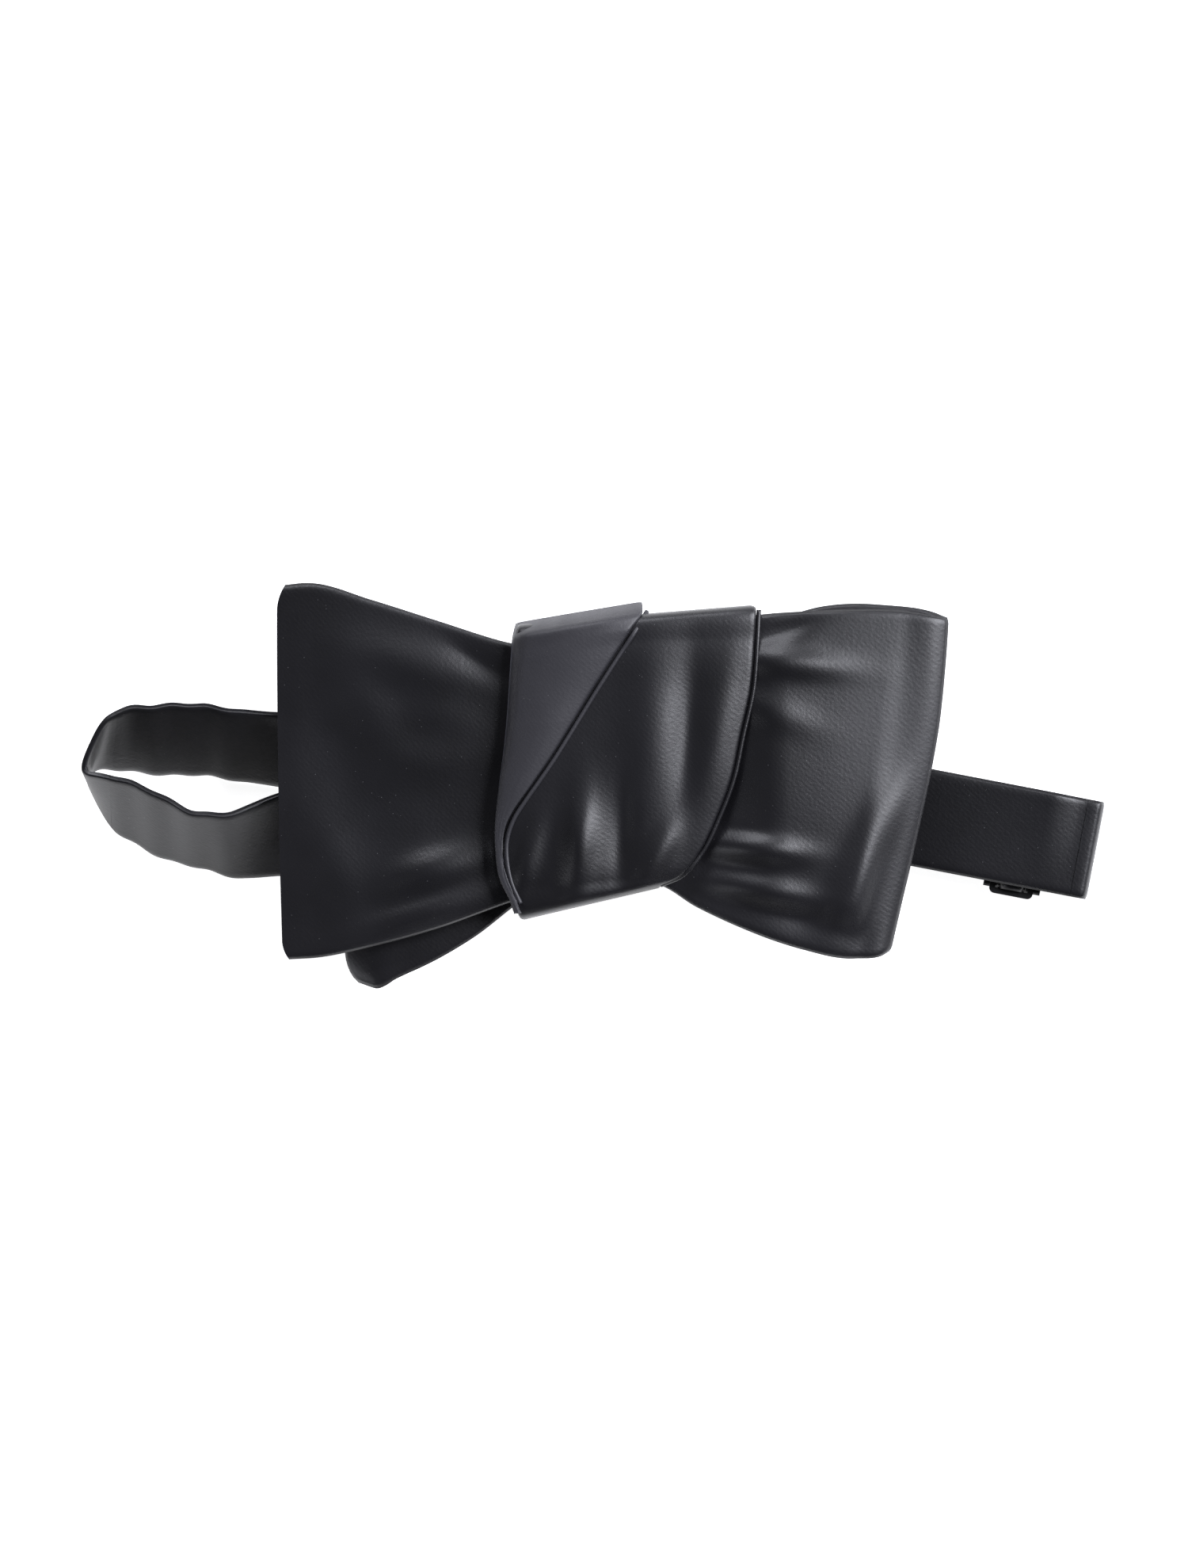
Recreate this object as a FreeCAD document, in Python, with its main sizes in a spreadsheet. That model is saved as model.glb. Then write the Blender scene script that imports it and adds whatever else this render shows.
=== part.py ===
"""Black satin bow tie lying on its back: a front and a back bow held by a wide wrapped knot, on an adjustable
neckband whose two straps are folded behind the bow. +X is to the right of the bow, +Y towards its top edge and
+Z out of its face; the floor it lies on is Z = 0. Millimetres."""

import FreeCAD, Part
import math
import os
import Sketcher

V = FreeCAD.Vector

doc = FreeCAD.newDocument("bow_tie")

# ---------------------------------------------------------------------------------------------- dimensions
DIMENSIONS = {
    "band_width": 18.0,  # neckband, edge to edge
    "band_thick": 1.1,
    "band_silk": 0.3,  # one wall of the neckband's silk tube
    "band_lining_thick": 0.4,
    "blade_thick": 1.8,  # a bow blade: silk, interlining, silk
    "blade_silk": 0.35,
    "blade_lining_thick": 0.9,
    "edge_seam": 1.5,  # silk beyond the interlining at a sewn edge
    "lining_gap": 0.1,
    "wrap_thick": 1.0,  # knot strip
    "wrap_lining_thick": 0.5,
    "bar_width": 1.0,  # metal fittings
    "metal_thick": 0.8,
    "fitting_height": 21.6,  # across the band
    "window_height": 18.8,
    "adjuster_height": 20.0,
    "adjuster_opening": 17.8,
    "gathered_width": 17.4,  # the strap where it goes through the adjuster
    "adjuster_length": 8.0,
    "eye_length": 9.0,
    "hook_length": 5.6,
    "slot_height": 9.0,  # the eye's slot for the hook's tongue
    "tongue_width": 7.0,
    "end_thick": 0.4,  # strap end round the adjuster's centre bar
    "crossing_thick": 0.8,  # strap where it is pressed over the centre bar
    "lapel_thick": 1.4,
    "turn_radius": 3.25,  # outside of the fold at the right-hand end
    "stitch_length": 2.4,
    "stitch_thick": 0.5,
}
sheet = doc.addObject("Spreadsheet::Sheet", "Dims")
for row, (name, value) in enumerate(DIMENSIONS.items(), start=1):
    sheet.set(f"A{row}", name)
    sheet.set(f"B{row}", str(value))
    sheet.setAlias(f"B{row}", name)
doc.recompute()
D = {name: getattr(sheet, name) for name in DIMENSIONS}

RIGHT_END = V(91.5, -12.2, 0)  # where the right-hand fold ends, at the middle of the band
RIGHT_ANGLE = -10.9  # degrees the right-hand straps run below +X
BOW_LIFT = 0.4  # the bow's height above the stations below
BAR_Z = 2.6  # underside of the adjuster
EYE_Z = 1.3  # underside of the hook and the eye
PIECES = []


def keep(piece, label):
    piece.Label = label
    PIECES.append(piece)
    return piece


# ---------------------------------------------------------------------------------------------- ribbons
def station(x, y, z, width=None, yaw=0.0):
    """A cross-section's centre, its width (the band's own when None) and the direction its width runs in."""
    a = math.radians(yaw)
    return V(x, y, z), V(-math.sin(a), math.cos(a), 0), width


def edge_station(low, high):
    """A cross-section given by its lower and its upper edge."""
    low, high = V(*low), V(*high)
    size = (high - low).Length
    return (low + high) / 2, (high - low).normalize(), size


def ribbon(name, stations, thick, narrower=0.0, shift=0.0):
    """A strip of cloth swept through its stations in flat facets; thick names a cell.

    narrower takes a seam off each edge and shift moves the strip off the stations, along its own face."""
    rings = []
    for i, (centre, across, width) in enumerate(stations):
        before = stations[max(i - 1, 0)][0]
        after = stations[min(i + 1, len(stations) - 1)][0]
        along = (after - before).normalize()
        up = along.cross(across).normalize()
        half = across * ((D["band_width"] if width is None else width) / 2 - narrower)
        low, high = up * (shift - D[thick] / 2), up * (shift + D[thick] / 2)
        rings.append([centre - half + low, centre + half + low, centre + half + high, centre - half + high])
    faces = []
    for near, far in zip(rings, rings[1:]):
        for j in range(4):
            k = (j + 1) % 4
            faces += [triangle(near[j], near[k], far[k]), triangle(near[j], far[k], far[j])]
    for a, b, c, d in (rings[0][::-1], rings[-1]):
        faces += [triangle(a, b, c), triangle(a, c, d)]
    solid = Part.makeSolid(Part.makeShell(faces))
    if solid.Volume < 0:
        solid.reverse()
    strip = doc.addObject("Part::Feature", name)
    strip.Shape = solid
    return strip


def triangle(a, b, c):
    return Part.Face(Part.makePolygon([a, b, c, a]))


def trimmed(stations, by):
    """The same stations with the two end ones moved inwards."""
    out = list(stations)
    for end, inner in ((0, 1), (-1, -2)):
        centre, across, width = stations[end]
        run = stations[inner][0] - centre
        out[end] = (centre + run * (by / run.Length), across, width)
    return out


def lined_ribbon(name, stations, thick, silk, lining_thick):
    """A sewn silk tube and the interlining inside it, as two pieces."""
    seam, gap = D["edge_seam"], D["lining_gap"]
    inner = trimmed(stations, seam)
    cavity_cell = f"{name}_cavity"
    row = len(DIMENSIONS) + 1
    DIMENSIONS[cavity_cell] = None
    sheet.set(f"A{row}", cavity_cell)
    sheet.set(f"B{row}", str(round(D[thick] - 2 * D[silk], 3)))
    sheet.setAlias(f"B{row}", cavity_cell)
    doc.recompute()
    D[cavity_cell] = getattr(sheet, cavity_cell)
    outer = ribbon(f"{name}_outer", stations, thick)
    cavity = ribbon(f"{name}_hollow", inner, cavity_cell, narrower=seam - gap)
    shell = doc.addObject("Part::Cut", f"{name}_shell")
    shell.Base, shell.Tool = outer, cavity
    keep(shell, f"{name}_silk")
    keep(ribbon(f"{name}_lining", inner, lining_thick, narrower=seam), f"{name}_interlining")


def in_right_frame(x, y=0.0, z=0.0):
    """A point on the right-hand straps, x measured from the outside of the fold."""
    a = math.radians(RIGHT_ANGLE)
    return RIGHT_END + V(x * math.cos(a) - y * math.sin(a), x * math.sin(a) + y * math.cos(a), z)


def right_station(x, z, width=None, y=0.0):
    p = in_right_frame(x, y)
    return station(p.x, p.y, z, width, yaw=RIGHT_ANGLE)


# ---------------------------------------------------------------------------------------------- bow
def bow_stations(rows):
    return [station(x, y, z + BOW_LIFT, width, yaw) for x, y, z, width, yaw in rows]


def front_bow():
    """Blade end on the left, carried across the knot to a loop that folds back at the right."""
    rows = [
        (-57.0, 2.2, 18.4, 67.0, 0),
        (-44.0, 1.8, 19.0, 64.0, 0),
        (-30.0, 1.9, 19.0, 56.0, 0),
        (-14.0, 3.0, 18.2, 43.0, 0),
        (0.0, 4.6, 18.0, 38.0, 0),
        (13.0, 6.9, 18.0, 37.4, 0),
        (21.0, 3.4, 18.2, 46.0, -2),
        (31.0, 0.8, 18.6, 54.0, -4),
        (45.0, 0.4, 18.9, 62.0, -7),
        (56.0, -0.3, 18.3, 62.0, -9),
        (60.2, -0.6, 15.9, 62.0, -9),
        (56.0, -0.3, 13.6, 62.0, -9),
        (45.0, 0.4, 13.9, 61.0, -7),
        (31.0, 0.8, 14.7, 52.0, -4),
        (14.0, 4.6, 15.2, 40.0, 0),
    ]
    lined_ribbon("front_bow", bow_stations(rows), "blade_thick", "blade_silk", "blade_lining_thick")


def back_bow():
    """Loop on the left, carried across the knot to a blade end that the front loop hides."""
    rows = [
        (10.0, 4.5, 8.4, 34.0, 0),
        (-14.0, 1.5, 8.9, 39.0, 0),
        (-30.0, -4.5, 10.3, 54.5, 2),
        (-39.5, -5.2, 11.7, 61.5, 3),
        (-43.3, -5.4, 13.7, 62.5, 3),
        (-39.5, -5.2, 15.8, 61.5, 3),
        (-30.0, -4.5, 15.4, 54.5, 2),
        (-14.0, 1.5, 13.2, 39.0, 0),
        (10.0, 4.5, 12.1, 36.0, 0),
        (30.0, 1.0, 11.6, 48.0, 0),
        (50.0, 0.0, 10.6, 54.0, 0),
    ]
    lined_ribbon("back_bow", bow_stations(rows), "blade_thick", "blade_silk", "blade_lining_thick")


def knot_wrap():
    """Strip round the middle of the bow, wide over the top and front and gathered below; its ends meet behind."""
    rows = [
        (2.0, 2.6, 6.1, 26.0, 2),
        (4.0, 18.0, 6.1, 30.0, 3),
        (6.0, 26.5, 6.5, 36.0, 4),
        (7.5, 30.3, 9.3, 42.0, 4),
        (8.0, 30.9, 13.3, 45.0, 4),
        (8.0, 30.8, 17.3, 45.0, 4),
        (8.0, 29.4, 19.7, 45.0, 4),
        (7.6, 26.0, 20.4, 44.5, 4),
        (6.0, 12.0, 20.4, 42.5, 5),
        (3.9, 0.0, 20.4, 41.0, 7),
        (1.5, -10.0, 20.3, 36.0, 10),
        (0.0, -18.0, 19.8, 28.5, 13),
        (-0.5, -21.2, 17.0, 26.0, 13),
        (-0.5, -21.9, 13.0, 25.5, 13),
        (0.0, -21.0, 9.0, 25.5, 13),
        (1.0, -17.5, 6.5, 25.5, 10),
        (2.0, 1.6, 6.1, 26.0, 2),
    ]
    stations = []
    for x, y, z, width, yaw in rows:
        a = math.radians(yaw)
        stations.append((V(x, y, z + BOW_LIFT), V(math.cos(a), math.sin(a), 0), width))
    keep(ribbon("knot_wrap", stations, "wrap_thick"), "knot_wrap_silk")
    inside = -(D["wrap_thick"] + D["wrap_lining_thick"]) / 2 - D["lining_gap"]
    lining = ribbon("knot_lining", trimmed(stations, 2), "wrap_lining_thick", D["edge_seam"], inside)
    keep(lining, "knot_wrap_interlining")


def knot_lapel():
    """The wrap's left edge, folded over to the front: a long triangle lying on the wrap."""
    outline = [
        (-14.3, 27.7),
        (-15.7, 8.6),
        (-16.8, -2.0),
        (-16.6, -10.5),
        (-14.9, -4.6),
        (-4.6, 8.2),
        (2.4, 20.3),
        (6.1, 28.6),
        (0.5, 28.6),
    ]
    body = doc.addObject("PartDesign::Body", "knot_lapel")
    sketch = body.newObject("Sketcher::SketchObject", "lapel_outline")
    attach(sketch, body, "XY_Plane")
    polygon(sketch, outline)
    pad = body.newObject("PartDesign::Pad", "lapel_pad")
    pad.Profile = sketch
    pad.setExpression("Length", "Dims.lapel_thick")
    body.Placement = FreeCAD.Placement(V(0, 0, 20.95 + BOW_LIFT), FreeCAD.Rotation())
    keep(body, "knot_lapel_silk")


def knot_stitches():
    """Hand stitches that hold the neckband to the back of the knot, along both edges of the band."""
    stitches = []
    for x, y in ((-9, 7.0), (-5, 7.8), (-1, 8.4), (11, 9.6), (-9, -7.0), (-5, -6.2), (-1, -5.6), (10, -2.4)):
        box = doc.addObject("Part::Box", "stitch")
        box.setExpression("Length", "Dims.stitch_length")
        box.setExpression("Width", "Dims.stitch_thick")
        box.setExpression("Height", "Dims.stitch_thick / 2")
        box.Placement = FreeCAD.Placement(V(x, y, 5.68), FreeCAD.Rotation())
        stitches.append(box)
    group = doc.addObject("Part::Compound", "knot_stitches")
    group.Links = stitches
    keep(group, "knot_tack_stitches")


# ---------------------------------------------------------------------------------------------- sketches
def attach(sketch, body, role):
    plane = next(f for f in body.Origin.OriginFeatures if f.Role == role)
    sketch.AttachmentSupport = [(plane, "")]
    sketch.MapMode = "FlatFace"


def polygon(sketch, points):
    for a, b in zip(points, points[1:] + points[:1]):
        sketch.addGeometry(Part.LineSegment(V(a[0], a[1], 0), V(b[0], b[1], 0)), False)


def rectangle(sketch, x, width_cell, height_cell):
    """A rectangle centred on (x, 0) whose two sizes are bound to cells."""
    w, h = D[width_cell] / 2, D[height_cell] / 2
    first = sketch.GeometryCount
    polygon(sketch, [(x - w, -h), (x + w, -h), (x + w, h), (x - w, h)])
    C = Sketcher.Constraint
    for i in range(4):
        sketch.addConstraint(C("Coincident", first + i, 2, first + (i + 1) % 4, 1))
        sketch.addConstraint(C("Horizontal" if i % 2 == 0 else "Vertical", first + i))
    left = sketch.addConstraint(C("DistanceX", first, 1, x - w))
    low = sketch.addConstraint(C("DistanceY", first, 1, -h))
    across = sketch.addConstraint(C("DistanceX", first, 1, first, 2, 2 * w))
    up = sketch.addConstraint(C("DistanceY", first + 1, 1, first + 1, 2, 2 * h))
    sketch.setExpression(f"Constraints[{left}]", f"{x} - Dims.{width_cell} / 2")
    sketch.setExpression(f"Constraints[{low}]", f"-Dims.{height_cell} / 2")
    sketch.setExpression(f"Constraints[{across}]", f"Dims.{width_cell}")
    sketch.setExpression(f"Constraints[{up}]", f"Dims.{height_cell}")


def plate(name, length_cell, windows, height_cell="fitting_height"):
    """A flat metal fitting with rounded corners; windows are (x, width cell, height cell)."""
    body = doc.addObject("PartDesign::Body", name)
    outline = body.newObject("Sketcher::SketchObject", f"{name}_outline")
    attach(outline, body, "XY_Plane")
    rectangle(outline, 0, length_cell, height_cell)
    pad = body.newObject("PartDesign::Pad", f"{name}_pad")
    pad.Profile = outline
    pad.setExpression("Length", "Dims.metal_thick")
    doc.recompute()
    upright = [
        f"Edge{i + 1}"
        for i, e in enumerate(pad.Shape.Edges)
        if abs(abs((e.Vertexes[0].Point - e.Vertexes[-1].Point).z) - D["metal_thick"]) < 1e-6
    ]
    corners = body.newObject("PartDesign::Fillet", f"{name}_corners")
    corners.Base = (pad, upright)
    corners.setExpression("Radius", "Dims.bar_width")
    doc.recompute()
    for i, (x, width_cell, height_cell) in enumerate(windows):
        hole = body.newObject("Sketcher::SketchObject", f"{name}_window_{i}")
        attach(hole, body, "XY_Plane")
        rectangle(hole, x, width_cell, height_cell)
        pocket = body.newObject("PartDesign::Pocket", f"{name}_pocket_{i}")
        pocket.Profile = hole
        pocket.Type = "ThroughAll"
        pocket.Midplane = True
        doc.recompute()
    return body


def place_right(piece, x, z, y=0.0):
    p = in_right_frame(x, y, z)
    piece.Placement = FreeCAD.Placement(p, FreeCAD.Rotation(V(0, 0, 1), RIGHT_ANGLE))


# ---------------------------------------------------------------------------------------------- neckband
EYE_AT = (13.0, -0.45)  # middle of the eye's strap bar
LONG_ANGLE = -5.0


LOOP_EDGES = [  # the open left-hand end of the band: lower edge, then upper edge
    ((-25.0, -12.4, 4.5), (-25.0, 5.4, 5.6)),
    ((-44.0, -15.6, 1.9), (-44.0, 1.0, 7.4)),
    ((-56.5, -16.7, 0.7), (-57.0, -1.6, 10.2)),
    ((-66.0, -16.6, 0.6), (-66.0, -4.6, 13.2)),
    ((-73.2, -14.9, 0.6), (-72.0, -5.4, 14.2)),
    ((-82.0, -11.3, 0.6), (-81.0, -0.8, 14.2)),
    ((-87.0, -8.0, 0.6), (-87.3, 1.4, 14.2)),
    ((-90.4, -2.8, 0.6), (-91.8, 3.4, 14.2)),
    ((-91.8, 1.0, 0.6), (-91.2, 7.4, 14.2)),
    ((-89.6, 2.6, 0.6), (-88.6, 11.2, 14.0)),
    ((-85.8, 2.4, 0.6), (-84.6, 13.2, 13.8)),
    ((-79.3, 2.1, 0.6), (-79.0, 14.2, 13.4)),
    ((-68.0, 1.2, 0.6), (-68.0, 13.7, 13.0)),
    ((-57.0, -0.4, 0.6), (-57.0, 12.7, 12.0)),
    ((-44.0, -3.0, 0.58), (-44.0, 13.6, 7.0)),
    ((-30.0, -5.4, 0.57), (-30.0, 12.4, 2.6)),
]
TURN_START, TURN_END = 6, 10  # the stretch of LOOP_EDGES that bends when the band is opened out


def nudged(edges, first, last):
    """The stations from first to last, with a hair's gap at both ends."""
    return trimmed([edge_station(*e) for e in edges[first : last + 1]], 0.35)


def front_straps():
    """The two runs sewn to the back of the knot, one to each side."""
    left = [station(2.0, 2.0, 5.05, yaw=9.7), station(-12.0, -0.6, 5.05, yaw=9.7)]
    left += [edge_station(*e) for e in LOOP_EDGES[: TURN_START + 1]]
    lined_ribbon("front_left_strap", left, "band_thick", "band_silk", "band_lining_thick")
    top = 2 * D["turn_radius"] - D["band_thick"] / 2
    right = [right_station(-D["turn_radius"] - 0.08, top), right_station(-45, 5.5), right_station(-84, 5.05)]
    lined_ribbon("front_right_strap", right, "band_thick", "band_silk", "band_lining_thick")


def left_turn():
    """The bend at the tip of the open left-hand end, which stands on its lower edge and leans over."""
    keep(ribbon("left_turn", nudged(LOOP_EDGES, TURN_START, TURN_END), "band_thick"), "neckband_left_turn")


def long_strap():
    """From the left-hand bend, laid down flat behind the bow, to the eye."""
    a = math.radians(LONG_ANGLE)
    end = V(EYE_AT[0] - 5.6 * math.cos(a), EYE_AT[1] - 5.6 * math.sin(a), 0)
    stations = [edge_station(*e) for e in LOOP_EDGES[TURN_END:]]
    stations += [station(-15.0, 2.05, 0.56, yaw=LONG_ANGLE), station(end.x, end.y, 0.56, yaw=LONG_ANGLE)]
    lined_ribbon("long_strap", stations, "band_thick", "band_silk", "band_lining_thick")
    profile = [(0.0, 0.56), (2.2, 0.56), (3.4, 1.1), (3.75, 1.85), (3.4, 2.5), (2.2, 2.98), (-12.0, 2.98)]
    turn = []
    for run, z in profile:
        turn.append(station(end.x + (run + 0.02) * math.cos(a), end.y + (run + 0.02) * math.sin(a), z, yaw=LONG_ANGLE))
    keep(ribbon("eye_end", turn, "band_thick"), "eye_strap_end")
    keep(tack_row("eye_tack", V(end.x - 8, end.y + 0.7, 3.6), LONG_ANGLE), "eye_bar_tack")


def tack_row(name, middle, angle):
    """A bar tack: a row of short stitches across the band, on its upper face."""
    turn = FreeCAD.Rotation(V(0, 0, 1), angle)
    count = 9
    pitch = (D["band_width"] - 4) / (count - 1)
    stitches = []
    for i in range(count):
        box = doc.addObject("Part::Box", f"{name}_stitch")
        box.setExpression("Length", "Dims.stitch_thick")
        box.setExpression("Width", "Dims.stitch_thick * 2")
        box.setExpression("Height", "Dims.stitch_thick / 2")
        offset = turn.multVec(V(0, (i - (count - 1) / 2) * pitch, 0))
        box.Placement = FreeCAD.Placement(middle + offset, turn)
        stitches.append(box)
    group = doc.addObject("Part::Compound", name)
    group.Links = stitches
    return group


def right_turn():
    """The fold at the right-hand end: half a tube, from the front strap down to the short strap."""
    body = doc.addObject("PartDesign::Body", "right_turn")
    sketch = body.newObject("Sketcher::SketchObject", "right_turn_profile")
    attach(sketch, body, "XZ_Plane")
    outer = D["turn_radius"]
    inner = outer - D["band_thick"]
    centre = V(-outer, outer, 0)
    half = math.pi / 2
    normal = V(0, 0, 1)
    sketch.addGeometry(Part.ArcOfCircle(Part.Circle(centre, normal, outer), -half, half), False)
    sketch.addGeometry(Part.ArcOfCircle(Part.Circle(centre, normal, inner), -half, half), False)
    for a, b in ((2 * outer, outer + inner), (outer - inner, 0)):
        sketch.addGeometry(Part.LineSegment(V(-outer, a, 0), V(-outer, b, 0)), False)
    pad = body.newObject("PartDesign::Pad", "right_turn_pad")
    pad.Profile = sketch
    pad.Midplane = True
    pad.setExpression("Length", "Dims.band_width")
    place_right(body, 0, 0)
    keep(body, "neckband_right_turn")


ADJUSTER_X = -13.8  # middle of the adjuster, from the outside of the right-hand fold
ADJUSTER_Y = -1.0  # it has slipped down, so that its lower side shows below the band
HOOK_BAR_X = -52.0  # middle of the hook's strap bar


def short_strap():
    """From the fold through the adjuster to the hook and back to the adjuster's centre bar."""
    run = [right_station(-D["turn_radius"] - 0.15, 0.56), right_station(-5.5, 0.75), right_station(-8.4, 1.48)]
    keep(ribbon("short_run", run, "band_thick"), "short_strap_run")
    hump = [
        (5.3, 1.5),
        (3.4, 1.75),
        (2.3, 2.2),
        (2.1, 3.0),
        (1.6, 4.0),
        (0.0, 4.45),
        (-1.6, 4.0),
        (-2.1, 3.0),
        (-2.3, 2.2),
        (-3.4, 1.75),
        (-5.1, 1.75),
    ]
    crossing = [right_station(ADJUSTER_X + x, z, D["gathered_width"], ADJUSTER_Y) for x, z in hump]
    keep(ribbon("crossing", crossing, "crossing_thick"), "adjuster_crossing")
    outer = [
        right_station(ADJUSTER_X - 5.12, 1.75),
        right_station(-35, 2.5),
        right_station(HOOK_BAR_X + 3, 3.0),
    ]
    keep(ribbon("outer_run", outer, "band_thick"), "strap_outer_run")
    returning = [
        right_station(HOOK_BAR_X + 3, 0.56),
        right_station(-35, 0.56),
        right_station(ADJUSTER_X - 5.12, 0.56),
    ]
    keep(ribbon("return_run", returning, "band_thick"), "strap_return_run")
    turn = [(2.98, 3.0), (1.0, 3.0), (-0.6, 2.75), (-1.35, 1.8), (-0.6, 0.8), (1.0, 0.56), (2.98, 0.56)]
    hook_turn = [right_station(HOOK_BAR_X + x, z) for x, z in turn]
    keep(ribbon("hook_turn", hook_turn, "band_thick"), "hook_strap_turn")
    end = [(-5.0, 0.7), (-3.0, 0.8), (-1.2, 1.8), (0.0, 2.25), (0.85, 2.4), (0.85, 3.5), (0.0, 3.75), (-0.8, 3.6)]
    end_loop = [right_station(ADJUSTER_X + x, z, D["gathered_width"], ADJUSTER_Y) for x, z in end]
    keep(ribbon("end_loop", end_loop, "end_thick"), "adjuster_strap_end")


# ---------------------------------------------------------------------------------------------- fittings
def extra_cell(name, value):
    row = len(DIMENSIONS) + 1
    DIMENSIONS[name] = value
    sheet.set(f"A{row}", name)
    sheet.set(f"B{row}", value)
    sheet.setAlias(f"B{row}", name)
    doc.recompute()
    D[name] = getattr(sheet, name)


def adjuster():
    """Three-bar slide: the strap runs over the centre bar and its end is sewn round it."""
    extra_cell("adjuster_window", "=(adjuster_length - 3 * bar_width) / 2")
    step = (D["adjuster_window"] + D["bar_width"]) / 2
    windows = [(side * step, "adjuster_window", "adjuster_opening") for side in (-1, 1)]
    body = plate("adjuster", "adjuster_length", windows, "adjuster_height")
    place_right(body, ADJUSTER_X, BAR_Z, ADJUSTER_Y)
    keep(body, "slide_adjuster")


def eye():
    """Flat eye: a strap window and, beyond it, a slot for the hook's tongue."""
    extra_cell("eye_window", "=eye_length - 4.1")
    extra_cell("eye_slot", "=eye_window / 2")
    body = plate("eye", "eye_length", [(-2.05, "eye_slot", "window_height"), (1.85, "eye_slot", "slot_height")])
    a = math.radians(LONG_ANGLE)
    shift = D["eye_length"] / 2 - D["bar_width"] / 2 - 4.0
    base = V(EYE_AT[0] + shift * math.cos(a), EYE_AT[1] + shift * math.sin(a), EYE_Z)
    body.Placement = FreeCAD.Placement(base, FreeCAD.Rotation(V(0, 0, 1), LONG_ANGLE))
    keep(body, "closure_eye")


def hook():
    """Strap window with a tongue that runs on and is bent back over itself."""
    extra_cell("hook_window", "=hook_length - 2.6")
    frame = plate("hook_frame", "hook_length", [(0.3, "hook_window", "window_height")])
    frame.Placement = FreeCAD.Placement(V(-1.8, 0, 0), FreeCAD.Rotation())
    thick = D["metal_thick"]
    mouth = 0.9
    radius = (mouth + 2 * thick) / 2
    tongue = doc.addObject("PartDesign::Body", "tongue")
    sketch = tongue.newObject("Sketcher::SketchObject", "tongue_profile")
    attach(sketch, tongue, "XZ_Plane")
    bend = V(-9.4, radius, 0)
    normal = V(0, 0, 1)
    lo, hi = math.pi / 2, 3 * math.pi / 2
    sketch.addGeometry(Part.ArcOfCircle(Part.Circle(bend, normal, radius), lo, hi), False)
    sketch.addGeometry(Part.ArcOfCircle(Part.Circle(bend, normal, radius - thick), lo, hi), False)
    root, tip = -3.4, -5.8
    lines = [
        ((bend.x, 0), (root, 0)),
        ((root, 0), (root, thick)),
        ((root, thick), (bend.x, thick)),
        ((bend.x, 2 * radius), (tip, 2 * radius)),
        ((tip, 2 * radius), (tip, 2 * radius - thick)),
        ((tip, 2 * radius - thick), (bend.x, 2 * radius - thick)),
    ]
    for a, b in lines:
        sketch.addGeometry(Part.LineSegment(V(*a, 0), V(*b, 0)), False)
    pad = tongue.newObject("PartDesign::Pad", "tongue_pad")
    pad.Profile = sketch
    pad.Midplane = True
    pad.setExpression("Length", "Dims.tongue_width")
    joined = doc.addObject("Part::Fuse", "hook_joined")
    joined.Base, joined.Tool = frame, tongue
    place_right(joined, HOOK_BAR_X + 0.5, EYE_Z)
    keep(joined, "closure_hook")


front_bow()
back_bow()
knot_wrap()
knot_lapel()
knot_stitches()
front_straps()
left_turn()
long_strap()
right_turn()
short_strap()
adjuster()
eye()
hook()
doc.recompute()

overall = FreeCAD.BoundBox()
for piece in PIECES:
    overall.add(piece.Shape.BoundBox)
shift = FreeCAD.Placement(V(-overall.Center.x, -overall.Center.y, -overall.ZMin), FreeCAD.Rotation())
for piece in PIECES:
    piece.Placement = shift * piece.Placement
doc.recompute()
print("origin moved by", shift.Base)

faults = [o.Name for o in doc.Objects if "Invalid" in o.State or "Error" in o.State]
for piece in PIECES:
    if piece.Shape.isNull() or not piece.Shape.isValid() or not piece.Shape.Solids:
        faults.append(piece.Label)
if faults:
    raise SystemExit(f"these objects failed: {faults}")
os.makedirs("parts", exist_ok=True)
for piece in PIECES:
    piece.Shape.exportStep(f"parts/{piece.Label}.step")
    print(f"{piece.Label}: {len(piece.Shape.Solids)} solids, {piece.Shape.Volume:.1f} mm3")
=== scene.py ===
"""A black satin bow tie lying face up, seen from straight above.

Cloth is built as smooth surfaces through listed edges, in millimetres, and given its thickness, its sewn
edges and its soft folds here. The metal fittings keep their CAD shape."""

import math

import bmesh
import bpy
import numpy as np
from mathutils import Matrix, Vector


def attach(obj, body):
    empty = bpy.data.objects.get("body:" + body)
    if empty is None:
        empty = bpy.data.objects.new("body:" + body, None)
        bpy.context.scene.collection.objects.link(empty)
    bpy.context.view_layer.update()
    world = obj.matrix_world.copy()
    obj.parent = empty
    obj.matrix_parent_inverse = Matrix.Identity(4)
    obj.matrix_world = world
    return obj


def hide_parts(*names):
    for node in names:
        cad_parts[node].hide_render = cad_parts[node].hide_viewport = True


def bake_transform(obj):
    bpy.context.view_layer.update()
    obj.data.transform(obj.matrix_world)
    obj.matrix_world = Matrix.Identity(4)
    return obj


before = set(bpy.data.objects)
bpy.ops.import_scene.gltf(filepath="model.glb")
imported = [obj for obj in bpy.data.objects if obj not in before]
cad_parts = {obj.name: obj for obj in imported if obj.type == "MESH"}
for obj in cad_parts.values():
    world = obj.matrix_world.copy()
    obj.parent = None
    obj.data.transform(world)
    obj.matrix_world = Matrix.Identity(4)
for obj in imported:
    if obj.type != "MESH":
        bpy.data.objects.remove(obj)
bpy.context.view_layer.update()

MM = 0.001
BAND_THICK = 1.1  # the neckband: two layers of silk and the interlining, pressed
BAND_LIPS = 0.4  # depth of the groove between its two layers
OFFSET = np.array([-0.44, 0.48, 0.0])  # from the drawing's origin, mid-knot, to the frame's, in mm


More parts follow.
